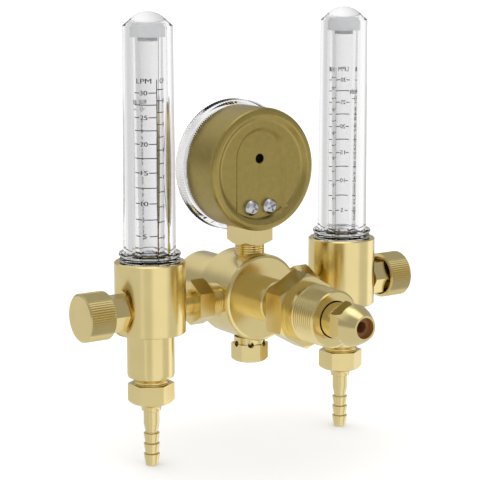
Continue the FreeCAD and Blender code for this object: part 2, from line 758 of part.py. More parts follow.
def gauge_socket():
    """The square brass socket: thread, neck, wrench block and the inner block that carries the tube."""
    half = SOCKET_SIDE / 2
    thread = threaded(GAUGE_THREAD_R, 0.5, GAUGE_THREAD_END, SOCKET_BOTTOM - 2.2, 0.94)
    neck = turned(
        [
            (0, SOCKET_BOTTOM - 2.4),
            (GAUGE_THREAD_R - 0.4, SOCKET_BOTTOM - 2.4),
            (GAUGE_THREAD_R + 0.4, SOCKET_BOTTOM - 2.1),
            (10.5, SOCKET_BOTTOM - 0.2),
            (10.5, SOCKET_BOTTOM + 6.5),
            (0, SOCKET_BOTTOM + 6.5),
        ]
    )
    square = Part.makeBox(SOCKET_SIDE, SOCKET_SIDE, 9.0, Vector(-half, -half, SOCKET_BOTTOM - 2.5))
    block = neck.common(square)
    back = CASE_BACK - RECESS_DEPTH - CASE_WALL - 0.02
    inner = Part.makeBox(14.0, back - SOCKET_INNER_FRONT, 16.0, Vector(-7.0, -back, SOCKET_BOTTOM + 6.0))
    socket = joined(thread, block, inner)
    bore = rod(1.2, GAUGE_THREAD_END - 1, SOCKET_BOTTOM + 14)
    taps = []
    for sign in (-1, 1):
        at = Vector(sign * CASE_SCREW_X, 0, GAUGE_Z - CASE_SCREW_DROP)
        taps.append(oriented(rod(1.35, back - 5.6, back + 1), TO_INLET, at))
    return bored(socket, bore, bourdon_tube(), *taps)


def movement_frame():
    """The two movement plates, their pillars and the foot that stands on the socket."""
    half_width, low, high = 3.0, -20.2, 7.6
    plates = []
    for front in (MOVEMENT_FRONT, MOVEMENT_REAR - PLATE_T):
        plates.append(Part.makeBox(2 * half_width, high - low, PLATE_T, Vector(-half_width, low, front)))
    pillars = [rod(0.9, MOVEMENT_FRONT, MOVEMENT_REAR, x, y) for x, y in ((0, 5.9), (1.7, -19.2))]
    depth = SOCKET_INNER_FRONT - MOVEMENT_REAR + 0.1
    foot = Part.makeBox(5.6, 8.0, depth, Vector(-2.8, -19.0, MOVEMENT_REAR - 0.1))
    frame = joined(*plates, *pillars, foot)
    pivot = sector_pivot()
    holes = [rod(0.8 + RUN, MOVEMENT_FRONT - 1, MOVEMENT_REAR + 0.02, x, y) for x, y in ((0, 0), (0, pivot.y))]
    return oriented(bored(frame, *holes), TO_INLET, Vector(0, 0, GAUGE_Z))


def case_screws():
    """The two cross-slotted screws that hold the case to the socket."""
    floor = CASE_BACK - RECESS_DEPTH
    screws = []
    for sign in (-1, 1):
        outline = [(0, floor + 0.02), (3.4, floor + 0.02), (3.4, floor + 1.3)]
        outline += [(2.4, floor + 2.4), (0, floor + 2.7)]
        head = turned(outline)
        shank = rod(1.3, floor - 4.8, floor + 0.5)
        slots = []
        for turn in (20, 110):
            slot = Part.makeBox(4.4, 0.9, 2.0, Vector(-2.2, -0.45, floor + 1.3))
            slot.rotate(Vector(0, 0, 0), Vector(0, 0, 1), turn * sign)
            slots.append(slot)
        screw = bored(joined(head, shank), *slots)
        at = Vector(sign * CASE_SCREW_X, 0, GAUGE_Z - CASE_SCREW_DROP)
        screws.append(oriented(screw, TO_INLET, at))
    return Part.makeCompound(screws)


# ---- flowmeters, drawn with the valve towards +X and turned about for the left one -------------------
def along_x(shape):
    """A shape drawn along +Z laid along +X."""
    return oriented(shape, TO_RIGHT)


def flow_body():
    """The turned flowmeter block with its stepped foot, threaded outlet and gas ways."""
    stud = ridges(STUD_R, 0.6, STUD_END + 0.4, 1.4, 4)
    outside = [(0, STUD_END), (STUD_R - 0.6, STUD_END)] + stud
    outside += [(STUD_R - 0.6, OUTLET_END - 0.6), (STUD_R - 0.6, OUTLET_END)]
    outside += [(OUTLET_R - 1.3, OUTLET_END), (OUTLET_R - 0.3, OUTLET_END + 0.5), (OUTLET_R, OUTLET_END + 1.6)]
    outside += [(OUTLET_R, FLOW_BOTTOM), (FLOW_R - 0.5, FLOW_BOTTOM), (FLOW_R, FLOW_BOTTOM + 0.5)]
    outside += [(FLOW_R, FLOW_TOP - 0.5), (FLOW_R - 0.5, FLOW_TOP), (0, FLOW_TOP)]
    body = turned(outside)
    chamber_floor = SOCKET_FLOOR + 3.0
    upright = [
        rod(SOCKET_R, chamber_floor, FLOW_TOP + 1),
        rod(METER_R + SLIP, SOCKET_FLOOR, chamber_floor + 1),
        rod(1.8, 0, SOCKET_FLOOR + 1, x=-3.4),
        rod(1.2, 0, chamber_floor + 0.5, x=8.1),
        rod(1.6, -27.5, 1.0, x=2.6),
        rod(4.0, STUD_END - 1, -26.5),
    ]
    level = [
        rod(1.8, -FLOW_R, -3.4),
        rod(LINK_FLOW_R + SLIP, -FLOW_R - 1, -9.4),
        rod(1.05, 2.6, 6.0),
        rod(3.4, 5.4, 10.0),
        rod(GLAND_THREAD_R + SLIP, 9.2, FLOW_R + 1),
        washer(SPOT_R, 0.5, SPOT_X, FLOW_R + 1),
    ]
    return bored(body, *upright, *[along_x(cutter) for cutter in level])


def cover_tube():
    """The clear outer tube: a screwed foot, a beaded flange, a slightly drafted wall and a domed end."""
    wall_top = COVER_SHOULDER_Z
    rim_r, rim_z, half_r = 8.1, COVER_SHOULDER_Z + 2.1, 4.6
    rise = COVER_APEX_Z - rim_z
    dome_r = (rim_r**2 + rise**2) / (2 * rise)
    half_z = COVER_APEX_Z - dome_r + math.sqrt(dome_r**2 - half_r**2)
    return turned(
        [
            (COVER_BORE_R, SOCKET_FLOOR + 3.2),
            (SOCKET_R - SLIP, SOCKET_FLOOR + 3.2),
            (SOCKET_R - SLIP, FLOW_TOP + 0.1),
            (FLANGE_R - 0.9, FLOW_TOP + 0.1),
            (FLANGE_R - 0.2, FLOW_TOP + 0.8, FLANGE_R - 0.7, FLOW_TOP + 1.5),
            (FLANGE_WAIST_R, FLOW_TOP + 1.55),
            (FLANGE_WAIST_R, FLOW_TOP + 2.05),
            (FLANGE_R - 0.8, FLOW_TOP + 2.1),
            (FLANGE_R, FLOW_TOP + 3.1, FLANGE_R - 0.8, COVER_FOOT_Z - 0.2),
            (COVER_FOOT_R, COVER_FOOT_Z),
            (COVER_TOP_R, wall_top),
            (rim_r, rim_z),
            (half_r, half_z, 0, COVER_APEX_Z),
            (0, wall_top + 1.2),
            (COVER_BORE_R - 1.0, wall_top + 1.2),
            (COVER_BORE_R, wall_top + 0.2),
        ]
    )


def metering_tube():
    """The clear inner tube with the tapered bore that the ball rises in."""
    return turned(
        [
            (METER_BORE_FOOT, METER_BASE),
            (METER_R, METER_BASE),
            (METER_R, METER_TOP),
            (METER_BORE_TOP, METER_TOP),
        ]
    )


def tube_oring():
    """The black ring between the two beads of the cover tube's flange."""
    return ring_seal(FLANGE_WAIST_R + 0.24, 0.22, FLOW_TOP + 1.8)


def tube_gasket():
    """The soft washer under the metering tube."""
    return washer(METER_R - 0.1, METER_BORE_FOOT, SOCKET_FLOOR + 0.02, METER_BASE - 0.02)


def tube_cap():
    """The white cap that centres the metering tube and stops the ball."""
    seat = METER_TOP + 0.02
    outline = [
        (0, seat - 1.7),
        (METER_BORE_TOP - 0.2, seat - 1.7),
        (METER_BORE_TOP - 0.1, seat),
        (CAP_R, seat),
        (CAP_R, CAP_TOP - 0.3),
        (CAP_R - 0.3, CAP_TOP),
        (0, CAP_TOP),
    ]
    ways = [rod(0.7, seat - 3, CAP_TOP + 1, x=2.8 * sign) for sign in (-1, 1)]
    return bored(turned(outline), *ways)


def float_ball():
    """The steel float, resting at the foot of the bore."""
    return Part.makeSphere(BALL_R, Vector(0, 0, BALL_Z))


def ball_seat():
    """The small ring that the float rests on."""
    high = BALL_Z - math.sqrt(BALL_R**2 - BALL_SEAT_R**2) - 0.02
    rim, inner = METER_BORE_FOOT - 2 * SLIP, BALL_SEAT_R - 0.5
    return turned([(inner, high - 4.0), (rim, high - 4.0), (rim, high), (BALL_SEAT_R, high), (inner, high - 0.6)])


def valve_gland():
    """The hexagonal gland that guides the needle."""
    outline = [
        (STEM_R + RUN, 9.3),
        (GLAND_THREAD_R, 9.3),
        (GLAND_THREAD_R, SPOT_X + 0.02),
        (9.0, SPOT_X + 0.02),
        (9.0, GLAND_END - 1.6),
        (6.4, GLAND_END - 1.5),
        (6.4, GLAND_END),
        (STEM_R + RUN, GLAND_END),
    ]
    head = chamfered_hexagon(GLAND_AF, SPOT_X + 0.02, GLAND_END - 1.5, 90, 0.4, 1.0)
    core = rod(6.4, 9.0, GLAND_END + 1)
    groove = washer(3.8, STEM_R, 22.4, 24.2)
    return along_x(turned(outline).common(head.fuse(core)).cut(groove))


def stem_oring():
    """The stem seal in the gland's groove."""
    return along_x(ring_seal(STEM_R + 0.92, 0.8, 23.3))


def valve_stem():
    """The needle: a conical tip, a threaded length and a plain shank."""
    outline = [(0, 4.5), (0.45, 4.5), (1.0, 5.95), (1.6, 7.0), (STEM_R, 8.2), (STEM_R, 10.0)]
    outline += ridges(STEM_R, 0.3, 10.2, 0.8, 8)
    outline += [(STEM_R, 16.4), (STEM_R, KNOB_FACE - 1.4)]
    outline += [(STEM_R - 0.4, KNOB_FACE - 1.1), (0, KNOB_FACE - 1.1)]
    return along_x(turned(outline))


def valve_knob():
    """The knurled cup-shaped knob."""
    outline = turned(
        [
            (0, KNOB_BACK),
            (KNOB_R - 0.5, KNOB_BACK),
            (KNOB_R, KNOB_BACK + 0.5),
            (KNOB_R, KNOB_FACE - 0.6),
            (KNOB_R - 1.0, KNOB_FACE),
            (0, KNOB_FACE),
        ]
    )
    knurl = serrated(KNOB_R, 0.5, KNOB_FLUTES, KNOB_BACK, KNOB_FACE)
    cup = washer(KNOB_CUP_R, 4.4, KNOB_BACK - 1, KNOB_FACE - 3.6)
    mouth = rod(KNOB_CUP_R, KNOB_BACK - 1, GLAND_END + 2.4)
    hole = rod(STEM_R + 0.06, KNOB_BACK, KNOB_FACE - 1.0)
    return along_x(bored(outline.common(knurl), cup, mouth, hole))


def outlet_nut():
    """The nut that holds the hose barb to the flowmeter."""
    hexed = chamfered_hexagon(OUTLET_AF, OUTLET_NUT_END, OUTLET_NUT_TOP, 90, 1.6, 0.4)
    neck = turned(
        [
            (0, OUTLET_NUT_END + 1),
            (8.2, OUTLET_NUT_END + 1),
            (8.2, OUTLET_NUT_END),
            (6.2, OUTLET_NUT_END - 0.7),
            (4.75, OUTLET_NUT_END - 1.7, 4.2, NUT_NECK_END),
            (0, NUT_NECK_END),
        ]
    )
    thread = rod(STUD_R + SLIP, STUD_END - 3.6, OUTLET_NUT_TOP + 1)
    hole = rod(BARB_COLLAR_R + SLIP, NUT_NECK_END - 1, OUTLET_NUT_TOP)
    return bored(joined(hexed, neck), thread, hole)


def hose_barb():
    """The barbed hose tail with the flat head that the nut clamps."""
    head = STUD_END - 0.02
    outline = [(BARB_BORE_R, head), (7.2, head), (7.2, head - 3.5), (BARB_COLLAR_R, head - 3.5)]
    outline += [(BARB_COLLAR_R, BARB_COLLAR_END), (BARB_R, BARB_COLLAR_END - 0.2)]
    outline += [(BARB_R, SHANK_END), (BARB_ROOT_R, BARB_FIRST + 0.5), (BARB_ROOT_R, BARB_FIRST)]
    for step in range(3):
        crest = BARB_FIRST - step * BARB_PITCH
        outline += [(BARB_R, crest - 0.05), (BARB_R, crest - 0.5), (BARB_ROOT_R + 0.1, crest - BARB_PITCH)]
    outline += [(BARB_ROOT_R, BARB_TIP + 0.3), (BARB_ROOT_R - 0.3, BARB_TIP), (BARB_BORE_R, BARB_TIP)]
    return turned(outline)


# ---- connectors, drawn outwards from the centre ----------------------------------------------------
def connector():
    """The hexagonal nipple between the regulator body and a flowmeter."""
    body_end, hex_start, hex_end, collar_end = 15.8, 24.3, 31.8, 33.1
    into_body = threaded(LINK_BODY_R, 0.5, body_end, hex_start + 0.1, 0.94)
    hexed = chamfered_hexagon(LINK_AF, hex_start, hex_end, 0, 0.9, 0.9)
    collar = rod(5.7, hex_end - 0.1, collar_end)
    into_flow = threaded(LINK_FLOW_R, 0.4, collar_end - 0.1, FLOW_X - 9.7, 0.75)
    return bored(joined(into_body, hexed, collar, into_flow), rod(LINK_BORE_R, 0, FLOW_X))


# ---- the set ---------------------------------------------------------------------------------------
CENTRE_PIECES = (
    regulator_body,
    bonnet,
    adjusting_screw,
    lock_nut,
    spring_button,
    range_spring,
    slip_ring,
    diaphragm,
    diaphragm_plate,
    seat_nozzle,
    valve_poppet,
    poppet_spring,
    inlet_nipple,
    inlet_filter,
    inlet_nut,
    relief_body,
    relief_cap,
    relief_poppet,
    relief_spring,
    gauge_case,
    gauge_lens,
    gauge_dial,
    gauge_pointer,
    pointer_shaft,
    sector_gear,
    gauge_link,
    bourdon_tube,
    movement_frame,
    gauge_socket,
    case_screws,
)
FLOWMETER_PIECES = (
    flow_body,
    cover_tube,
    metering_tube,
    tube_oring,
    tube_gasket,
    tube_cap,
    float_ball,
    ball_seat,
    valve_gland,
    stem_oring,
    valve_stem,
    valve_knob,
    outlet_nut,
    hose_barb,
)


def all_nodes():
    """Every node's name and shape, drawn about the centre."""
    nodes = {piece.__name__: piece() for piece in CENTRE_PIECES}
    half_turn = FreeCAD.Rotation(Vector(0, 0, 1), 180)
    for piece in FLOWMETER_PIECES:
        shape = piece()
        nodes["right_" + piece.__name__] = oriented(shape, UPRIGHT, Vector(FLOW_X, 0, 0))
        nodes["left_" + piece.__name__] = oriented(shape, half_turn, Vector(-FLOW_X, 0, 0))
    nodes["right_connector"] = oriented(connector(), TO_RIGHT)
    nodes["left_connector"] = oriented(connector(), TO_LEFT)
    return nodes


def main():
    os.makedirs("parts", exist_ok=True)
    for name, shape in all_nodes().items():
        shape.translate(ORIGIN_SHIFT)
        shape.exportStep(os.path.join("parts", name + ".step"))
        print(name, "solids", len(shape.Solids), "valid", shape.isValid(), "mm3", round(shape.Volume, 1))


main()
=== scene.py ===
import json
import math

import bmesh
import bpy
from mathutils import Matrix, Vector


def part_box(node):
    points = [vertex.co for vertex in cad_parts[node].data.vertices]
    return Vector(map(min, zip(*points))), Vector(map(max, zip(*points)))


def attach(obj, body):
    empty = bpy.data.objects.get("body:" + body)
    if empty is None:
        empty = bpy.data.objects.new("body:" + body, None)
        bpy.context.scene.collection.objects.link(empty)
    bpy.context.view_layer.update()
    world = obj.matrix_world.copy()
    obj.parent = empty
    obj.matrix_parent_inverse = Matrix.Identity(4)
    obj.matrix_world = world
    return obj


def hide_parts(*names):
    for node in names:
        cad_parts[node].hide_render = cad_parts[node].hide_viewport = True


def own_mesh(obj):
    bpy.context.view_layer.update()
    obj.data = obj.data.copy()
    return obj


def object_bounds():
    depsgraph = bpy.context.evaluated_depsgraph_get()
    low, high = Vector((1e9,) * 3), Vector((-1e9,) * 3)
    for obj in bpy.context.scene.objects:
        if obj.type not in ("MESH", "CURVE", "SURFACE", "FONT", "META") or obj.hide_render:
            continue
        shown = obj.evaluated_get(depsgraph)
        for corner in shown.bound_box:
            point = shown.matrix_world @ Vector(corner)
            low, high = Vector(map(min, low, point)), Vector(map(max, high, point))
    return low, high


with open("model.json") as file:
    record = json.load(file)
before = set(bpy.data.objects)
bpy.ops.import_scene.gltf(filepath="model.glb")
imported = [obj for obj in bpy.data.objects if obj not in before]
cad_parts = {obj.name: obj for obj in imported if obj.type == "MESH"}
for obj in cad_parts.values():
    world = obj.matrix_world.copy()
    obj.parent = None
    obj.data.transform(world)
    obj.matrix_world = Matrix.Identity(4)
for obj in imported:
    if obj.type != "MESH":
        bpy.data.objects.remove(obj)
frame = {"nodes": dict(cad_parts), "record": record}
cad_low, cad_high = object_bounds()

MM = 0.001
SIDES = ("left", "right")

# camera: the angle and distance that the object is seen from
VIEW_AZIMUTH = math.radians(-34.7)
VIEW_PITCH = math.radians(10.17)
VIEW_DISTANCE = 706.3 * MM
LENS_MM = 120.3
SENSOR_MM = 36.0

# printing on the flow tubes
INK_THICKNESS = 0.03 * MM
TICK_HEIGHT = 0.4 * MM
BOLDNESS = 0.06 * MM         # letters are printed twice, this far to either side
FLOW_STEP = 2.5              # litres a minute between ticks
FLOW_TOP = 30.0
FOOT_STEP = 5                # cubic feet an hour between ticks
FOOT_TOP = 65
LITRES_PER_FOOT = 28.317 / 60
LITRE_ARC = (-89.2, 0.0)     # degrees about the tube, from the scale's upright line
LITRE_GAP = (-65.2, -31.2)   # where a number stands in the tick
LITRE_TEXT = -48.5
FOOT_ARC = (0.0, 46.0)
NOTE_TURN = 190.0
LINE_TURN = {"left": -90.3, "right": 100.0}

SCALE_FOOT = 17.52 * MM      # height of no flow above the inlet axis
SCALE_RISE = 3.048 * MM      # for each litre a minute near the foot
SCALE_CLOSING = 0.0184 * MM  # how much less that gets towards the top
MARK_RADIUS = 1.15 * MM      # the ball drawn as the reading mark
MARK_WIDTH = 0.25 * MM
MARK_POINTS = 20

# printing on the gauge dial
DIAL_ZERO = 225.0            # degrees, seen from the dial's own side
DIAL_SWEEP = 270.0
DIAL_TOP = 4000              # pounds per square inch
DIAL_STEP = 100
PSI_PER_BAR = 14.504

# studio: levels of the surround, and azimuths and heights in degrees
PLAIN_LEVEL = 1.42           # what the camera and matt surfaces see
GROUND_LEVEL = 0.70
GROUND_PANELS = ((-89.0, 26.0, 12.0, 0.28), (-147.0, 5.0, 8.0, 0.16), (-7.0, 17.0, 8.0, 0.45))
WALL_LEVEL = 0.40
BACK_GLOW = 0.35
OVERHEAD_GLOW = 0.9
BEYOND_LEVEL = 1.05          # what is seen through the clear pieces
BEYOND_SHADE = 0.36
FLOOR_REACH = 30.0
FLOOR_GAP = 0.05 * MM


# ---- places read from the frame -----------------------------------------------------------------------
def centre_of(node):
    """The middle of a node's box."""
    low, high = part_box(node)
    return (low + high) / 2


def radius_of(node):
    """Half the width of a node that stands upright."""
    low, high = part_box(node)
    return (high.x - low.x) / 2


# ---- materials ----------------------------------------------------------------------------------------
class Tree:
    """A material's node tree with short calls for the nodes that are used here."""

    def __init__(self, name):
        self.material = bpy.data.materials.new(name)
        self.material.use_nodes = True
        self.nodes = self.material.node_tree.nodes
        self.links = self.material.node_tree.links
        self.shader = self.nodes["Principled BSDF"]

    def put(self, kind, inputs=(), **settings):
        """A node with its settings, and its inputs given as values or as sockets."""
        node = self.nodes.new(kind)
        for key, value in settings.items():
            setattr(node, key, value)
        for key, value in dict(inputs).items():
            self.feed(node.inputs[key], value)
        return node

    def feed(self, socket, value):
        """Sets a socket to a value or links it to another socket."""
        if isinstance(value, bpy.types.NodeSocket):
            self.links.new(value, socket)
        else:
            socket.default_value = value

    def math(self, operation, first, second=0.0):
        """One arithmetic step."""
        return self.put("ShaderNodeMath", {0: first, 1: second}, operation=operation).outputs[0]

    def surface(self, **inputs):
        """Sets the shader's own sockets; an underscore stands for a space."""
        for key, value in inputs.items():
            self.feed(self.shader.inputs[key.replace("_", " ")], value)

    def noise(self, vector, scale, detail=2.0):
        """A noise value between 0 and 1."""
        inputs = {"Vector": vector, "Scale": scale, "Detail": detail}
        return self.put("ShaderNodeTexNoise", inputs).outputs["Fac"]

    def between(self, value, low, high):
        """A value from 0 to 1 spread between two numbers."""
        return self.put("ShaderNodeMapRange", {"Value": value, "To Min": low, "To Max": high}).outputs[0]

    def colours(self, value, *stops):
        """A colour ramp through (position, colour) stops."""
        ramp = self.put("ShaderNodeValToRGB", {"Fac": value})
        elements = ramp.color_ramp.elements
        while len(elements) < len(stops):
            elements.new(0.5)
        for element, (position, colour) in zip(elements, stops):
            element.position = position
            element.color = (*colour, 1.0)
        return ramp.outputs["Color"]

    def bump(self, height, distance, strength=1.0):
        """Surface relief, with its depth in metres."""
        inputs = {"Height": height, "Distance": distance, "Strength": strength}
        self.surface(Normal=self.put("ShaderNodeBump", inputs).outputs["Normal"])


def turned_metal(name, colour, roughness, axis, centre, variation=0.05):
    """Metal with the fine rings that a lathe leaves about an axis through centre."""
    tree = Tree(name)
    coordinates = tree.put("ShaderNodeTexCoord").outputs["Object"]
    away = tree.put("ShaderNodeVectorMath", {0: coordinates, 1: centre}, operation="SUBTRACT").outputs[0]
    parts = tree.put("ShaderNodeSeparateXYZ", {0: away}).outputs
    across = [parts[i] for i in range(3) if i != axis]
    squares = [tree.math("MULTIPLY", part, part) for part in across]
    reach = tree.math("SQRT", tree.math("ADD", *squares))
    rings = tree.put("ShaderNodeCombineXYZ", {0: reach, 1: parts[axis]}).outputs[0]
    cut = tree.noise(rings, 2600.0, 3.0)
    cloud = tree.noise(coordinates, 90.0, 4.0)
    shade = [tuple(channel * factor for channel in colour) for factor in (1 - variation, 1 + variation)]
    tree.surface(Base_Color=tree.colours(cloud, (0.3, shade[0]), (0.7, shade[1])))
    wear = tree.math("ADD", tree.math("MULTIPLY", cut, 0.6), tree.math("MULTIPLY", cloud, 0.4))
    tree.surface(Metallic=1.0, Roughness=tree.between(wear, roughness - 0.05, roughness + 0.05))
    tree.bump(cut, 0.0012 * MM)
    return tree.material


def cloudy(name, colour, roughness, scale=250.0, relief=0.01 * MM, variation=0.06, **more):
    """A finish whose tone and gloss vary a little, with a fine grain."""
    tree = Tree(name)
    coordinates = tree.put("ShaderNodeTexCoord").outputs["Object"]
    cloud = tree.noise(coordinates, scale, 3.0)
    shade = [tuple(min(1.0, c * factor) for c in colour) for factor in (1 - variation, 1 + variation)]
    tree.surface(Base_Color=tree.colours(cloud, (0.3, shade[0]), (0.7, shade[1])))
    tree.surface(Roughness=tree.between(cloud, roughness * 0.85, roughness * 1.15), **more)
    tree.bump(tree.noise(coordinates, scale * 12, 2.0), relief)
    return tree.material


def clear_plastic(name, ior):
    """Clear moulded plastic with a trace of moulding waviness."""
    tree = Tree(name)
    coordinates = tree.put("ShaderNodeTexCoord").outputs["Object"]
    tree.surface(Base_Color=(0.94, 0.94, 0.94, 1.0), Transmission_Weight=1.0, IOR=ior)
    tree.surface(Roughness=tree.between(tree.noise(coordinates, 60.0), 0.0, 0.02))
    tree.bump(tree.noise(coordinates, 140.0, 1.0), 0.002 * MM)
    return tree.material


BRASS = (0.86, 0.71, 0.34)
BRIGHT_BRASS = (0.88, 0.73, 0.37)


def brass(name, axis, centre, colour=BRASS, roughness=0.2):
    """Satin turned brass."""
    return turned_metal(name, colour, roughness, axis, centre, 0.03)


def make_finishes():
    """Every finish by the record's slot, apart from the turned brass, which depends on a piece's axis."""
    return {
        "tube_bronze": cloudy("tube_bronze", (0.60, 0.36, 0.18), 0.3, Metallic=1.0),
        "sintered_bronze": cloudy(
            "sintered_bronze", (0.40, 0.20, 0.085), 0.6, scale=900.0, relief=0.12 * MM, Metallic=0.8
        ),
        "steel": cloudy("steel", (0.70, 0.71, 0.74), 0.22, Metallic=1.0),
        "spring_steel": cloudy("spring_steel", (0.42, 0.43, 0.45), 0.3, Metallic=1.0),
        "ball_steel": cloudy("ball_steel", (0.75, 0.76, 0.78), 0.06, relief=0.001 * MM, Metallic=1.0),
        "case_paint": cloudy(
            "case_paint", (0.42, 0.325, 0.10), 0.34, scale=400.0, relief=0.004 * MM, Metallic=0.9
        ),
        "clear_plastic": clear_plastic("clear_plastic", 1.3),
        "dial_white": cloudy("dial_white", (0.86, 0.86, 0.83), 0.5, variation=0.02),
        "pointer_black": cloudy("pointer_black", (0.02, 0.02, 0.02), 0.45),
        "white_plastic": cloudy("white_plastic", (0.84, 0.85, 0.86), 0.4, variation=0.02),
        "black_rubber": cloudy("black_rubber", (0.02, 0.02, 0.022), 0.5),
    }


FINISHES = make_finishes()
INK = cloudy("scale_ink", (0.035, 0.035, 0.04), 0.6)


def turned_brass_of(node, slot):
    """The brass that is turned about a node's own axis."""
    stem = node.split("_", 1)[1] if node.startswith(("left_", "right_")) else node
    if stem in ("valve_gland", "valve_stem", "valve_knob", "connector"):
        axis, owner = 0, node
    elif node != stem:
        axis, owner = 2, node.split("_")[0] + "_flow_body"
    elif node.startswith(("gauge", "pointer", "sector", "movement")) and node != "gauge_socket":
        axis, owner = 1, "gauge_case"
    elif node in ("relief_body", "relief_cap", "relief_poppet", "gauge_socket"):
        axis, owner = 2, "relief_body"
    else:
        axis, owner = 1, "inlet_nipple"
    name = f"{slot}_{owner}"
    if name in bpy.data.materials:
        return bpy.data.materials[name]
    if slot == "brass_bright":
        return brass(name, axis, centre_of(owner), BRIGHT_BRASS, 0.16)
    return brass(name, axis, centre_of(owner))


def finish_frame():
    """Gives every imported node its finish."""
    for part in frame["record"]["subparts"]:
        node = part["node"]
        slot = part["material_slot"]
        finish = FINISHES.get(slot) or turned_brass_of(node, slot)
        for holder in frame["nodes"][node].material_slots:
            holder.material = finish


# ---- printing -----------------------------------------------------------------------------------------
class Print:
    """Thin ink shapes that are drawn flat, in x and y, and then laid on a surface by a place function."""

    def __init__(self, name, place):
        self.name = name
        self.place = place
        self.mesh = bmesh.new()

    def bar(self, x_low, x_high, y_low, y_high, step):
        """A rectangle, divided along x so that it bends with the surface."""
        count = max(1, math.ceil((x_high - x_low) / step))
        loops = []
        for index in range(count + 1):
            x = x_low + (x_high - x_low) * index / count
            corners = ((y_low, 0.0), (y_high, 0.0), (y_high, INK_THICKNESS), (y_low, INK_THICKNESS))
            loops.append([self.mesh.verts.new(self.place(x, y, z)) for y, z in corners])
        for here, there in zip(loops, loops[1:]):
            for i in range(4):
                self.mesh.faces.new((here[i], there[i], there[i - 3], here[i - 3]))
        self.mesh.faces.new(loops[0])
        self.mesh.faces.new(reversed(loops[-1]))

    def text(self, words, width, height, x=0.0, y=0.0, turn=0.0):
        """Words of a given width and height, centred on a point and turned about it."""
        curve = bpy.data.curves.new("words", "FONT")
        curve.body = words
        curve.extrude = 0.5
        curve.resolution_u = 4
        holder = bpy.data.objects.new("words", curve)
        bpy.context.scene.collection.objects.link(holder)
        made = bpy.data.meshes.new_from_object(holder.evaluated_get(bpy.context.evaluated_depsgraph_get()))
        low = [min(vertex.co[i] for vertex in made.vertices) for i in range(3)]
        high = [max(vertex.co[i] for vertex in made.vertices) for i in range(3)]
        cos, sin = math.cos(turn), math.sin(turn)
        size = [high[i] - low[i] for i in range(3)]
        shares = [[(vertex.co[i] - low[i]) / size[i] for i in range(3)] for vertex in made.vertices]
        for shift in (-BOLDNESS, BOLDNESS):
            for vertex, (across, up, out) in zip(made.vertices, shares):
                a, b = (across - 0.5) * width + shift, (up - 0.5) * height
                vertex.co = self.place(x + a * cos - b * sin, y + a * sin + b * cos, out * INK_THICKNESS)
            self.mesh.from_mesh(made)
        bpy.data.objects.remove(holder)
        bpy.data.curves.remove(curve)
        bpy.data.meshes.remove(made)

    def ride(self, body):
        """The finished print as one piece."""
        bmesh.ops.remove_doubles(self.mesh, verts=self.mesh.verts, dist=1e-7)
        bmesh.ops.recalc_face_normals(self.mesh, faces=self.mesh.faces)
        mesh = bpy.data.meshes.new(self.name)
        self.mesh.to_mesh(mesh)
        self.mesh.free()
        mesh.materials.append(INK)
        piece = bpy.data.objects.new(self.name, mesh)
        bpy.context.scene.collection.objects.link(piece)
        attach(piece, body)


def flow_height(litres):
    """Height of a flow above the inlet axis: the tapered bore spaces the ticks closer towards the top."""
    return SCALE_FOOT + SCALE_RISE * litres - SCALE_CLOSING * litres**2


def ball_mark(ink, x, y):
    """The reading mark: a ball with a line through its middle."""
    turns = [math.tau * i / MARK_POINTS for i in range(MARK_POINTS)]
    rings = []
    for z in (0.0, INK_THICKNESS):
        for reach in (MARK_RADIUS, MARK_RADIUS - MARK_WIDTH):
            points = [(x + reach * math.cos(turn), y + reach * math.sin(turn)) for turn in turns]
            rings.append([ink.mesh.verts.new(ink.place(a, b, z)) for a, b in points])
    for first, second in ((0, 1), (1, 3), (3, 2), (2, 0)):
        for i in range(MARK_POINTS):
            corners = (rings[first][i - 1], rings[first][i], rings[second][i], rings[second][i - 1])
            ink.mesh.faces.new(corners)
    ink.bar(x - 2.6 * MM, x + 1.6 * MM, y - MARK_WIDTH / 2, y + MARK_WIDTH / 2, 0.5 * MM)


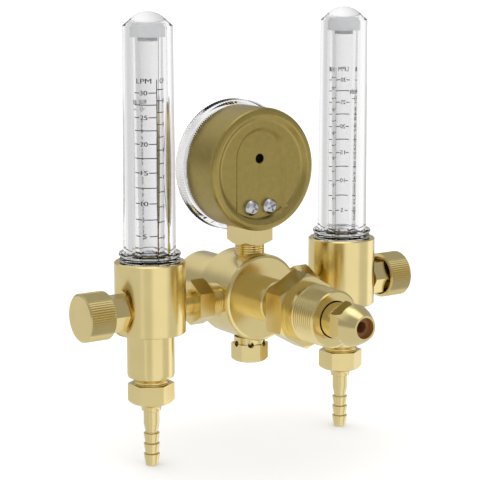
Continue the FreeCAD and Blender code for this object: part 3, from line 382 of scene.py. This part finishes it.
def flow_scale(side):
    """The printed scale of one metering tube: litres a minute, cubic feet an hour and a reading note."""
    tube = f"{side}_metering_tube"
    axis = centre_of(tube)
    radius = radius_of(tube)
    line = math.radians(LINE_TURN[side])

    def place(x, y, z):
        angle = line + x / radius
        reach = radius + z
        return Vector((axis.x + reach * math.cos(angle), axis.y + reach * math.sin(angle), y))

    ink = Print(f"{side}_flow_scale", place)
    arc = math.radians(1.0) * radius
    step = math.radians(4.0) * radius
    half = TICK_HEIGHT / 2

    def tick(start, end, height):
        ink.bar(start * arc, end * arc, height - half, height + half, step)

    for index in range(1, round(FLOW_TOP / FLOW_STEP) + 1):
        litres = index * FLOW_STEP
        height = flow_height(litres)
        if index % 2:
            tick(LITRE_ARC[0], LITRE_ARC[1], height)
        else:
            tick(LITRE_ARC[0], LITRE_GAP[0], height)
            tick(LITRE_GAP[1], LITRE_ARC[1], height)
            words = f"{litres:.0f}"
            ink.text(words, 1.5 * MM * len(words), 1.9 * MM, LITRE_TEXT * arc, height)
    for feet in range(FOOT_STEP, FOOT_TOP + 1, FOOT_STEP):
        height = flow_height(feet * LITRES_PER_FOOT)
        if feet % 10:
            tick(FOOT_ARC[0], FOOT_ARC[1], height)
        else:
            tick(FOOT_ARC[0], FOOT_ARC[1] - 22, height)
            ink.text(f"{feet}", 2.3 * MM, 1.7 * MM, (FOOT_ARC[1] - 8) * arc, height)
    top = flow_height(FLOW_TOP)
    ink.text("LPM", 6.3 * MM, 2.0 * MM, LITRE_TEXT * arc, top + 4.9 * MM)
    ink.text("CFH", 4.4 * MM, 1.9 * MM, 34 * arc, top + 4.9 * MM)
    ink.bar(-half, half, flow_height(0.0) + 3.0 * MM, top + 5.4 * MM, step)
    note = NOTE_TURN * arc
    middle = flow_height(FLOW_TOP / 2) - 4.0 * MM
    ink.text("GAS FLOW AT 20 C AND 3.5 BAR", 52.0 * MM, 1.7 * MM, note, middle, math.pi / 2)
    ink.text("READ", 6.6 * MM, 1.8 * MM, note, top - 4.6 * MM)
    ball_mark(ink, note, top - 7.6 * MM)
    ink.ride("regulator")


def dial_face():
    """The printed face of the cylinder gauge, seen from behind the regulator."""
    middle = centre_of("gauge_case")
    low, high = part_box("gauge_dial")
    face = high.y
    radius = (high.x - low.x) / 2

    def place(x, y, z):
        return Vector((middle.x - x, face + z, middle.z + y))

    ink = Print("dial_face_print", place)

    def spoke(turn, inner, outer, width):
        cos, sin = math.cos(turn), math.sin(turn)
        corners = ((inner, -width), (outer, -width), (outer, width), (inner, width))
        rings = []
        for z in (0.0, INK_THICKNESS):
            ring = [ink.mesh.verts.new(place(a * cos - b * sin, a * sin + b * cos, z)) for a, b in corners]
            ink.mesh.faces.new(ring)
            rings.append(ring)
        for i in range(4):
            ink.mesh.faces.new((rings[0][i - 1], rings[0][i], rings[1][i], rings[1][i - 1]))

    def number(value, digit, height, reach, turn):
        words = f"{value}"
        ink.text(words, digit * len(words), height, reach * math.cos(turn), reach * math.sin(turn))

    def turn_of(share):
        return math.radians(DIAL_ZERO - DIAL_SWEEP * share)

    for value in range(0, DIAL_TOP + 1, DIAL_STEP):
        turn = turn_of(value / DIAL_TOP)
        long = value % 500 == 0
        spoke(turn, radius * (0.80 if long else 0.85), radius * 0.9, (0.16 if long else 0.08) * MM)
        if value % 1000 == 0:
            number(value, 1.6 * MM, 2.4 * MM, radius * 0.66, turn)
    for bar in range(0, 281, 20):
        turn = turn_of(bar * PSI_PER_BAR / DIAL_TOP)
        spoke(turn, radius * 0.47, radius * 0.52, 0.1 * MM)
        if bar % 100 == 0 and bar:
            number(bar, 1.0 * MM, 1.5 * MM, radius * 0.39, turn)
    ink.text("psi", 4.0 * MM, 2.8 * MM, 0.0, -radius * 0.42)
    ink.text("bar", 3.0 * MM, 1.8 * MM, 0.0, -radius * 0.60)
    ink.ride("regulator")


def relief_spring():
    """The relief spring, which in the real valve shortens from its fixed lower end as the relief disc
    lifts, copied with a mesh of its own and attached to the regulator in place of the imported part.
    """
    node = frame["nodes"]["relief_spring"]
    coils = bpy.data.objects.new("relief_spring_coils", node.data.copy())
    coils.matrix_world = node.matrix_world.copy()
    bpy.context.scene.collection.objects.link(coils)
    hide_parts("relief_spring")
    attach(coils, "regulator")
    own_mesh(coils)


# ---- studio -------------------------------------------------------------------------------------------
def make_floor():
    """A large pale floor under the hose tails. Metal and clear plastic show the surround in its place."""
    mesh = bpy.data.meshes.new("floor")
    reach = FLOOR_REACH
    corners = ((-reach, -reach), (reach, -reach), (reach, reach), (-reach, reach))
    height = cad_low.z - FLOOR_GAP
    mesh.from_pydata([(x, y, height) for x, y in corners], [], [(0, 1, 2, 3)])
    tree = Tree("studio_floor")
    tree.surface(Base_Color=(0.93, 0.93, 0.93, 1.0), Roughness=0.9, Specular_IOR_Level=0.0)
    mesh.materials.append(tree.material)
    floor = bpy.data.objects.new("floor", mesh)
    bpy.context.scene.collection.objects.link(floor)
    floor.visible_glossy = False
    floor.visible_transmission = False


def make_studio():
    """A plain white surround, which metal sees as a light grey room with soft panels.

    Through the clear pieces it is white too, and a little shaded towards one side.
    """
    world = bpy.data.worlds.new("studio")
    bpy.context.scene.world = world
    world.use_nodes = True
    nodes, links = world.node_tree.nodes, world.node_tree.links
    nodes.clear()

    def put(kind, inputs=(), **settings):
        node = nodes.new(kind)
        for key, value in settings.items():
            setattr(node, key, value)
        for key, value in dict(inputs).items():
            if isinstance(value, bpy.types.NodeSocket):
                links.new(value, node.inputs[key])
            else:
                node.inputs[key].default_value = value
        return node

    def sum_of(operation, first, second=0.0):
        return put("ShaderNodeMath", {0: first, 1: second}, operation=operation).outputs[0]

    direction = put("ShaderNodeTexCoord").outputs["Generated"]
    parts = put("ShaderNodeSeparateXYZ", {0: direction}).outputs
    turn = sum_of("ARCTAN2", parts[1], parts[0])
    height = sum_of("ARCSINE", parts[2])

    def window(value, middle, half, soft):
        away = sum_of("ABSOLUTE", sum_of("SUBTRACT", value, math.radians(middle)))
        inputs = {
            "Value": away,
            "From Min": math.radians(half - soft / 2),
            "From Max": math.radians(half + soft / 2),
            "To Min": 1.0,
            "To Max": 0.0,
        }
        return put("ShaderNodeMapRange", inputs, interpolation_type="SMOOTHSTEP").outputs[0]

    def rise(value, start, end):
        inputs = {"Value": value, "From Min": math.radians(start), "From Max": math.radians(end)}
        return put("ShaderNodeMapRange", inputs, interpolation_type="SMOOTHSTEP").outputs[0]

    ground = GROUND_LEVEL
    for middle, half, soft, gain in GROUND_PANELS:
        ground = sum_of("ADD", ground, sum_of("MULTIPLY", window(turn, middle, half, soft), gain))
    back_glow = sum_of("MULTIPLY", rise(height, 18.0, 34.0), window(turn, 110.0, 60.0, 40.0))
    wall = sum_of("ADD", WALL_LEVEL, sum_of("MULTIPLY", back_glow, BACK_GLOW))
    wall = sum_of("ADD", wall, sum_of("MULTIPLY", rise(height, 60.0, 76.0), OVERHEAD_GLOW))
    level = put("ShaderNodeMix", {"Factor": rise(height, -5.0, 3.0), 2: ground, 3: wall}).outputs[0]
    rays = put("ShaderNodeLightPath").outputs
    shade = sum_of("MULTIPLY", window(turn, 106.0, 40.0, 50.0), BEYOND_SHADE)
    beyond = sum_of("SUBTRACT", BEYOND_LEVEL, shade)
    clear = put("ShaderNodeMix", {"Factor": rays["Is Transmission Ray"], 2: level, 3: beyond}).outputs[0]
    plain = sum_of("MAXIMUM", rays["Is Camera Ray"], rays["Is Diffuse Ray"])
    strength = put("ShaderNodeMix", {"Factor": plain, 2: clear, 3: PLAIN_LEVEL}).outputs[0]
    background = put("ShaderNodeBackground", {"Color": (1.0, 1.0, 1.0, 1.0), "Strength": strength})
    output = put("ShaderNodeOutputWorld")
    links.new(background.outputs[0], output.inputs[0])
    bpy.context.scene.view_settings.view_transform = "Standard"


def make_camera():
    """The camera, aimed a little above and beside the middle of the flowmeter line."""
    camera = bpy.data.objects.new("camera", bpy.data.cameras.new("camera"))
    bpy.context.scene.collection.objects.link(camera)
    camera.data.lens = LENS_MM
    camera.data.sensor_width = SENSOR_MM
    camera.data.clip_start = 0.05
    camera.data.clip_end = 100.0
    camera.data.dof.use_dof = False
    forward = Vector(
        (
            -math.sin(VIEW_AZIMUTH) * math.cos(VIEW_PITCH),
            math.cos(VIEW_AZIMUTH) * math.cos(VIEW_PITCH),
            -math.sin(VIEW_PITCH),
        )
    )
    tubes = (centre_of("left_flow_body") + centre_of("right_flow_body")) / 2
    aim = Vector((-5.2 * MM, tubes.y, 24.9 * MM))
    camera.location = aim - forward * VIEW_DISTANCE
    camera.rotation_mode = "QUATERNION"
    camera.rotation_quaternion = forward.to_track_quat("-Z", "Y")
    bpy.context.scene.camera = camera


finish_frame()
for side in SIDES:
    flow_scale(side)
dial_face()
relief_spring()
make_floor()
make_studio()
make_camera()
